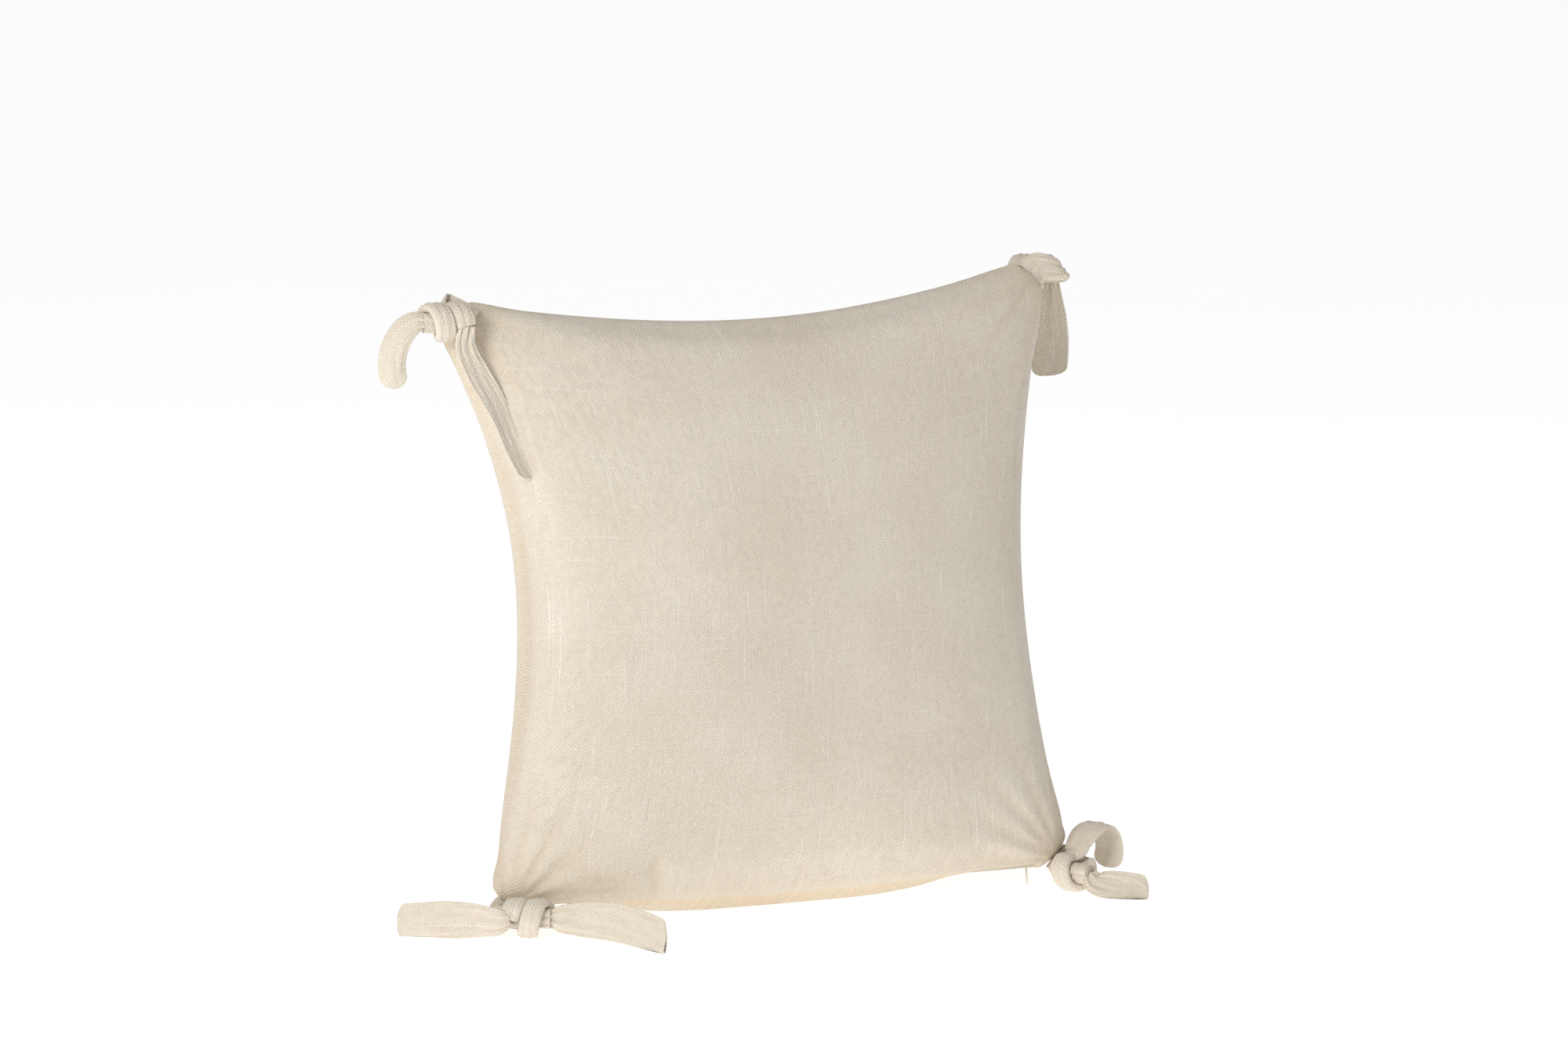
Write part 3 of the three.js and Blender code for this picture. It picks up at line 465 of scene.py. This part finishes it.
def finish_surface(thing, material, levels=0):
    """Gives an object its material, and smooths it by a number of levels."""
    thing.data.materials.append(material)
    if levels:
        smooth = thing.modifiers.new("smooth", "SUBSURF")
        smooth.levels = smooth.render_levels = levels


SWELL_LEFT, SWELL_MOST = 0.004, 0.007  # what the dome leaves to the swelling, and its cap
cover = lens("cover", 101, DEPTH / 2 - SWELL_LEFT)
inflate(cover, pressure=2.5, frames=12, most=SWELL_MOST)
cotton = slubby_cotton("cover_cotton")
finish_surface(cover, cotton, 1)
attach(cover, "cushion")
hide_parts("cover_front_panel", "cover_back_panel")

# ---------------------------------------------------------------------------------------
# The insert: a thin white non-woven casing, filled with polyester fibre. It fills the cover
# and shows only if the cover is taken off.
INSERT_INSET, FILLING_INSET, CASING_RISE, FILLING_RISE = 0.035, 0.047, 0.086, 0.081


def soft_white(name, colour, shade, size, deep):
    """Bonded fibres: fine noise of a given size, as colour and as bump."""
    material, tree, shader = new_material(name, 0.85, Sheen_Weight=0.1)
    where = node(tree, "ShaderNodeTexCoord", output=3)
    fibres = noise(where, (size, size, size), 4.0)
    mixed = blend(tree, ramp(fibres, 0.3, 0.7), shade, colour)
    tree.links.new(mixed.socket, shader.inputs["Base Color"])
    bump = node(tree, "ShaderNodeBump", {}, {"Strength": 0.5, "Distance": deep, "Height": fibres})
    tree.links.new(bump.socket, shader.inputs["Normal"])
    return material


casing = lens("insert_casing", 61, CASING_RISE, INSERT_INSET, 0.5)
casing_cloth = soft_white("casing_cloth", (0.86, 0.85, 0.82, 1), (0.78, 0.77, 0.74, 1), 700, 0.0002)
finish_surface(casing, casing_cloth)
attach(casing, "cushion")
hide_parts("insert_casing_front", "insert_casing_back")

filling = lens("filling", 61, FILLING_RISE, FILLING_INSET, 0.5)
fibre = soft_white("fibre_filling", (0.90, 0.90, 0.88, 1), (0.76, 0.76, 0.74, 1), 160, 0.002)
finish_surface(filling, fibre)
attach(filling, "cushion")
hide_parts("insert_filling")

# ---------------------------------------------------------------------------------------
# The ties: two strips of doubled cover cotton at each corner, stitched along their edges and
# sewn into the mouth. One strip runs straight through the knot, and the other is wound
# round it. Past the knot each has a free tail.
TIE_WIDTH, TIE_THICKNESS, TIE_MOUTH, TIE_ROOT = 0.038, 0.0032, 0.0076, 0.030
ROOT_IN, ROOT_OUT, ROOT_EASE = 0.008, 0.003, 0.0004
BUNCH, WRAP_WIDTH, WRAP_THICKNESS, CORE_HALF, TIE_GAP = 0.0095, 0.020, 0.0095, 0.023, 0.00035
WRAP_PITCH, TURN_STEPS = WRAP_WIDTH + 0.0008, 8
ROUND, ALONG_STEPS = 72, 150

# Each corner: the knot's middle from the mouth in millimetres, its axis, how many turns the
# winding makes (less than 0: the other way round) and whether the straight strip's root lies in
# front (-1) or behind (1). Then the straight strip and the wound one: name, the way its width
# points at the knot and at the tip, how far the tip is skewed, how far the tail spreads, and the
# places that the tail passes, in millimetres from the knot's middle.
CORNER_TIES = [
    ("top_left", (-14, -33, -8), (-1, 0, 0), -1.5, -1,
     ("back", (0, 0.1, 1), (-0.9, 0.4, 0), 0.0, 0.72,
      [(-30, 0, 1), (-41, 3, -6), (-50, 8, -25), (-51, 12, -43), (-46, 15, -63)]),
     ("front", (1, 0, 0), (0.9, 0.4, 0), 0.3, 0.70,
      [(14, -15, -22), (26, -17, -50), (43, -21, -81), (60, -27, -122), (71, -34, -150)])),
    ("top_right", (13, 28, -6), (-0.85, 0.53, 0), 1.5, -1,
     ("rear", (0.53, 0.85, 0), (0.53, 0.85, 0), 0.2, 1.0,
      [(-25, 16, -2), (-29, 20, -16), (-30, 23, -42), (-28, 22, -70), (-26, 18, -98)]),
     ("outer", (0.85, -0.53, 0), (0.85, -0.53, 0), -0.5, 1.0,
      [(20, 5, -22), (22, 7, -44), (24, 9, -68), (23, 8, -88), (20, 6, -106)])),
    ("bottom_left", (12, -34, 0.5), (0.84, -0.54, 0), 1.5, 1,
     ("right", (0, 0, 1), (0.15, 0.2, 1), -0.6, 1.0,
      [(25, -17, 0), (46, -30, 0), (68, -55, 0), (83, -90, -3), (91, -127, -7)]),
     ("left", (0, 0, -1), (-0.1, 0.2, -1), 0.4, 1.0,
      [(-30, -2, -1), (-48, 14, -1), (-72, 32, -2), (-94, 47, -4), (-112, 58, -6)])),
    ("bottom_right", (-5, -34, -5.5), (0.4, -0.9, 0), -0.85, 1,
     ("front", (0.5, 0.2, 0.8), (0.4, 0.15, 0.9), -0.3, 0.9,
      [(12, -27, -6), (20, -41, -8), (31, -52, -10), (43, -60, -12), (52, -66, -14)]),
     ("upper", (0.4, -0.9, 0), (0.4, -0.9, 0), 0.0, 1.0,
      [(8, 9, 17), (14, 13, 26), (25, 17, 37), (40, 22, 42), (52, 27, 32), (57, 29, 14), (53, 29, -4)])),
]


def unit(vector):
    """Vectors made one long."""
    vector = np.asarray(vector, float)
    return vector / np.maximum(np.linalg.norm(vector, axis=-1, keepdims=True), 1e-12)


def curve_through(points, count):
    """A smooth path: cubic pieces between the points, whose directions come from their
    neighbours, with the square root of each chord as its share of the way."""
    points = np.asarray(points, float)
    chord = np.sqrt(np.linalg.norm(np.diff(points, axis=0), axis=1))
    knots = np.concatenate([[0], np.cumsum(chord)])
    slope = np.gradient(points, knots, axis=0)
    t = np.linspace(0, len(points) - 1, count)
    i = np.minimum(t.astype(int), len(points) - 2)
    f = (t - i)[:, None]
    h = chord[i][:, None]
    path = (points[i] * (2 * f ** 3 - 3 * f ** 2 + 1) + slope[i] * h * (f ** 3 - 2 * f ** 2 + f)
            + points[i + 1] * (3 * f ** 2 - 2 * f ** 3) + slope[i + 1] * h * (f ** 3 - f ** 2))
    return path, t


TIE_FLOOR_GAP, BLUNT, STITCH_PLACE, STITCH_DEPTH = 0.0003, 0.03, 0.83, 0.0006
TIP_LENGTH, STRAND_END, DEEP_GATHER = 0.011, 0.004, 0.0014


def strip(name, stops, count, gather, stitched, lean_tip=0.0, cup=0.0, seed=0.0):
    """A doubled strip of cloth swept along a path, with its length. Each stop is a place, a
    width, a thickness and the way the width points. The section is a flattened round: the
    powers 0.8 and 0.7 of the cosine and sine of its angle. The strip is gathered into
    lengthwise folds by `gather`, an array along the path, and `stitched` rounds its tip and
    presses a line of stitching in near both its edges."""
    path, t = curve_through([stop[0] for stop in stops], count)
    across = [unit(stops[0][3])]
    for stop in stops[1:]:
        direction = unit(stop[3])
        across.append(direction if direction @ across[-1] >= 0 else -direction)
    index = np.arange(len(stops))
    width = np.interp(t, index, [stop[1] for stop in stops])
    thick = np.interp(t, index, [stop[2] for stop in stops])
    across = np.stack([np.interp(t, index, np.array(across)[:, k]) for k in range(3)], -1)
    tangent = unit(np.gradient(path, axis=0))
    across = unit(across - tangent * (across * tangent).sum(-1, keepdims=True))
    normal = np.cross(tangent, across)
    length = np.concatenate([[0], np.cumsum(np.linalg.norm(np.diff(path, axis=0), axis=1))])
    angle = np.linspace(0, 2 * np.pi, ROUND, endpoint=False)[None, :]
    c, s = np.cos(angle), np.sin(angle)
    side = np.sign(c) * np.abs(c) ** 0.8
    face = np.sign(s) * np.abs(s) ** 0.7
    tip = np.clip(length[-1] - length, 0, None)[:, None]
    reach = TIP_LENGTH if stitched else STRAND_END
    rounding = np.sqrt(np.clip(1 - (1 - np.clip(tip / reach, 0, 1)) ** 2, 0, 1)) if stitched else 1.0
    blunted = np.maximum(rounding, BLUNT)
    half = width[:, None] / 2 * blunted
    gather = np.asarray(gather)[:, None]
    run = length[:, None]
    folds = (np.sin(2 * np.pi * (1.35 * side + 0.18) + seed + 55 * run)
             + 0.55 * np.sin(2 * np.pi * 2.6 * side + 2.1 * seed - 80 * run))
    fullness = np.clip(1 - np.abs(side) ** 4, 0, 1)
    rise = thick[:, None] / 2 * face * (0.35 + 0.65 * np.sqrt(blunted))
    rise = rise + gather * folds * fullness
    if stitched:
        rise = rise - np.sign(face) * STITCH_DEPTH * bell(np.abs(side) - STITCH_PLACE, 0.05)
        rise = rise + cup * (half / (TIE_WIDTH / 2)) ** 2 * (side ** 2 - 0.4)
        rise = rise + 0.0007 * np.sin(40 * run + seed) * side
        rise = rise + 0.0009 * np.sin(95 * run + 2 * seed) * side ** 3
    sideways = lean_tip * TIE_WIDTH / 2 * (1 - blunted) if stitched else 0.0
    x = half * side + sideways
    points = path[:, None, :] + across[:, None, :] * x[..., None] + normal[:, None, :] * rise[..., None]
    points = points.reshape(-1, 3)
    points = np.concatenate([points, path[:1], path[-1:] + across[-1:] * np.max(sideways)]) + PLACE
    points[:, 2] = np.maximum(points[:, 2], TIE_FLOOR_GAP)
    ring = np.arange(count * ROUND).reshape(count, ROUND)
    turned = np.roll(ring, -1, axis=1)
    faces = np.stack([ring[:-1], turned[:-1], turned[1:], ring[1:]], -1).reshape(-1, 4).tolist()
    first, last = count * ROUND, count * ROUND + 1
    faces += [[first, b, a] for a, b in zip(ring[0].tolist(), turned[0].tolist())]
    faces += [[last, a, b] for a, b in zip(ring[-1].tolist(), turned[-1].tolist())]
    uv = np.stack([np.broadcast_to(x + 0.05 * seed, ring.shape).ravel(),
                   np.broadcast_to(run, ring.shape).ravel()], -1)
    uv = np.concatenate([uv, uv[:1], uv[-1:]])
    # Painted shade in the hollows between the gathered folds of the tie.
    painted_shade = np.clip(0.5 * gather / DEEP_GATHER * np.clip(-folds * face, 0, 1), 0, 1)
    painted_shade = np.concatenate([np.broadcast_to(painted_shade, ring.shape).ravel(), [0, 0]])
    return mesh_object(name, points, faces, uv, painted_shade), float(length[-1])


tie_cotton = slubby_cotton("tie_cotton")
PLANE_NORMAL = leaned([0, 1, 0])

for number, (corner, offset, axis, turns, layer, through, wound) in enumerate(CORNER_TIES):
    mouth = leaned([MOUTH[corner][0], 0, MOUTH[corner][1]])
    centre = mouth + np.array(offset) / 1000
    along = unit(axis)
    inward = mouth - centre
    inward = unit(inward - along * (inward @ along))
    over = np.cross(along, inward)
    out = MOUTH[corner] - np.array([0, TOP / 2])
    plane_out = leaned(unit([np.sign(out[0]), 0, np.sign(out[1])]))
    plane_across = np.cross(PLANE_NORMAL, plane_out)

    def root(which):
        """The flat sewn end of a strip, in front (-1) or behind (1) in the mouth."""
        at = mouth + PLANE_NORMAL * which * (TIE_MOUTH / 4)
        thick = TIE_MOUTH / 2 - ROOT_EASE
        return [(at + plane_out * d, TIE_ROOT, thick, plane_across) for d in (-ROOT_IN, ROOT_OUT)]

    straight = root(layer) + [
        (centre - along * (CORE_HALF + 0.007) + inward * 0.014, 0.020, 0.008, plane_across),
        (centre - along * (CORE_HALF - 0.001) + inward * 0.002, 2 * BUNCH, 0.011, over),
        (centre, 2 * BUNCH, 2 * BUNCH, over),
        (centre + along * CORE_HALF, 2 * BUNCH, 1.6 * BUNCH, over),
    ]
    radius = BUNCH + TIE_GAP + WRAP_THICKNESS / 2
    loops = abs(turns)
    steps = np.arange(round(loops * TURN_STEPS) + 1) / round(loops * TURN_STEPS) * loops
    winding = root(-layer)
    for turn in steps:
        angle = math.copysign(2 * math.pi * turn, turns)
        at = (centre + along * WRAP_PITCH * (loops / 2 - turn)
              + inward * radius * math.cos(angle) + over * radius * math.sin(angle))
        winding.append((at, WRAP_WIDTH, WRAP_THICKNESS, along * math.copysign(1, turns)))

    for kind, (tie, first_across, last_across, tip_lean, spread, tail) in enumerate((through, wound)):
        strand = straight if kind == 0 else winding
        seed = 1.7 * number + 0.9 * kind
        gather = np.full(ALONG_STEPS, 0.0007 if kind == 0 else 0.0004)
        knot, _ = strip(f"knot_{corner}_{tie}", strand, ALONG_STEPS, gather, False, seed=seed)
        finish_surface(knot, tie_cotton)
        node_name = f"tie_{corner}_{tie}"
        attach(knot, "cushion")
        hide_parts(f"{node_name}_knot")

        pivot = strand[-1][0]
        places = [pivot] + [centre + np.array(p) / 1000 for p in tail]
        share = np.linspace(0, 1, len(places))
        opening = np.sin(np.pi * np.minimum(0.5, 0.8 * share))
        widths = TIE_WIDTH * (0.42 + (0.98 * spread - 0.42) * opening)
        thicks = BUNCH * 0.9 + (TIE_THICKNESS - BUNCH * 0.9) * np.minimum(1, 2.2 * share)
        one, other = unit(first_across), unit(last_across)
        route = [(p, w, t, one + (other - one) * f) for p, w, t, f in zip(places, widths, thicks, share)]
        gather = 0.0003 + 0.0013 * np.exp(-np.linspace(0, 1, ALONG_STEPS) / 0.22)
        leaf, length = strip(f"tail_{corner}_{tie}", route, ALONG_STEPS, gather, True,
                             lean_tip=tip_lean, cup=0.0016 + 0.016 * (1 - spread), seed=seed)
        finish_surface(leaf, tie_cotton)
        tuple(pivot + PLACE)
        tuple(pivot + PLACE + 0.7 * (places[1] - pivot))
        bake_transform(leaf)
        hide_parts(f"{node_name}_tail")

# ---------------------------------------------------------------------------------------
# The zip: woven tapes, nylon coils, and a lacquered slider, pull and stops in the bottom seam.
# They are set in behind the seam, and only the pull hangs out of it.


def plain_finish(name, colour, shade, roughness, size, deep):
    """A moulded or lacquered surface: faint mottling in its colour and its polish."""
    material, tree, shader = new_material(name, roughness)
    where = node(tree, "ShaderNodeTexCoord", output=3)
    mottle = noise(where, (size, size, size), 3.0)
    mixed = blend(tree, mottle, shade, colour)
    tree.links.new(mixed.socket, shader.inputs["Base Color"])
    polish = mottle * 0.15 + (roughness - 0.07)
    tree.links.new(polish.socket, shader.inputs["Roughness"])
    bump = node(tree, "ShaderNodeBump", {}, {"Strength": 0.3, "Distance": deep, "Height": mottle})
    tree.links.new(bump.socket, shader.inputs["Normal"])
    return material


zip_finishes = {name: plain_finish(name, *values) for name, values in {
    "zip_tape": ((0.76, 0.70, 0.60, 1), (0.66, 0.60, 0.50, 1), 0.85, 2400, 0.0002),
    "zip_nylon": ((0.78, 0.73, 0.64, 1), (0.70, 0.65, 0.56, 1), 0.4, 900, 0.0001),
    "zip_lacquer": ((0.80, 0.75, 0.66, 1), (0.72, 0.66, 0.56, 1), 0.35, 500, 0.0001),
}.items()}
for name, slot in (
    ("zip_tape_front", "zip_tape"), ("zip_tape_back", "zip_tape"),
    ("zip_coil_front", "zip_nylon"), ("zip_coil_back", "zip_nylon"),
    ("zip_top_stop", "zip_lacquer"), ("zip_bottom_stop", "zip_lacquer"),
    ("zip_slider", "zip_lacquer"), ("zip_pull", "zip_lacquer"),
):
    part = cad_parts[name]
    if not part.material_slots:
        part.data.materials.append(zip_finishes[slot])
    part.material_slots[0].material = zip_finishes[slot]

# ---------------------------------------------------------------------------------------
# The floor, the light and the camera. A white room, a broad soft light from the front left
# and a faint one from above, and a long lens a little above the cushion's middle.
FLOOR_HALF = 300.0
floor_corners = [(x * FLOOR_HALF, y * FLOOR_HALF, 0) for x, y in ((-1, -1), (1, -1), (1, 1), (-1, 1))]
floor = mesh_object("floor", floor_corners, [(0, 1, 2, 3)])
floor_material, tree, shader = new_material("floor_white", 0.9)
where = node(tree, "ShaderNodeTexCoord", output=3)
pale = blend(tree, noise(where, (2, 2, 2)), (0.93, 0.93, 0.93, 1), (0.95, 0.95, 0.95, 1))
tree.links.new(pale.socket, shader.inputs["Base Color"])
shader.inputs["Emission Color"].default_value = (1, 1, 1, 1)
shader.inputs["Emission Strength"].default_value = 0.60
floor.data.materials.append(floor_material)

world = bpy.data.worlds.new("white_room")
bpy.context.scene.world = world
world.use_nodes = True
tree = world.node_tree
tree.nodes.clear()
seen = node(tree, "ShaderNodeLightPath", output=0)
strength = seen * 0.62 + 0.38
room = node(tree, "ShaderNodeBackground", {}, {"Color": (1, 1, 1, 1), "Strength": strength})
outlet = tree.nodes.new("ShaderNodeOutputWorld")
tree.links.new(room.socket, outlet.inputs[0])


LIT_PLACE = Vector((0, 0, 0.3))


def soft_light(name, place, size, power):
    """A square lamp, turned to the middle of the cushion."""
    lamp = bpy.data.lights.new(name, "AREA")
    lamp.shape, lamp.size, lamp.energy = "SQUARE", size, power
    made = bpy.data.objects.new(name, lamp)
    made.location = place
    made.rotation_euler = (LIT_PLACE - Vector(place)).to_track_quat("-Z", "Y").to_euler()
    bpy.context.scene.collection.objects.link(made)


soft_light("front_left", (-3.4, -2.3, 1.9), 1.8, 95)
soft_light("overhead", (0.2, -0.6, 3.4), 2.0, 10)

AIM = np.array([0.0, 0.0, 0.322]) + PLACE
AZIMUTH, ELEVATION, DISTANCE = math.radians(-24), math.radians(8), 6.0
SENSOR_WIDTH, FOCAL_LENGTH = 36, 141.696  # millimetres
RISE = 0.0388  # how far the view is shifted up, as a share of its width
away = np.array([math.sin(AZIMUTH) * math.cos(ELEVATION), -math.cos(AZIMUTH) * math.cos(ELEVATION),
                 math.sin(ELEVATION)])
lens_data = bpy.data.cameras.new("camera")
lens_data.sensor_width = SENSOR_WIDTH
lens_data.lens = FOCAL_LENGTH
lens_data.shift_y = RISE
camera = bpy.data.objects.new("camera", lens_data)
camera.location = AIM + away * DISTANCE
camera.rotation_euler = Vector(-away).to_track_quat("-Z", "Y").to_euler()
bpy.context.scene.collection.objects.link(camera)
bpy.context.scene.camera = camera
bpy.context.scene.view_settings.view_transform = "Standard"
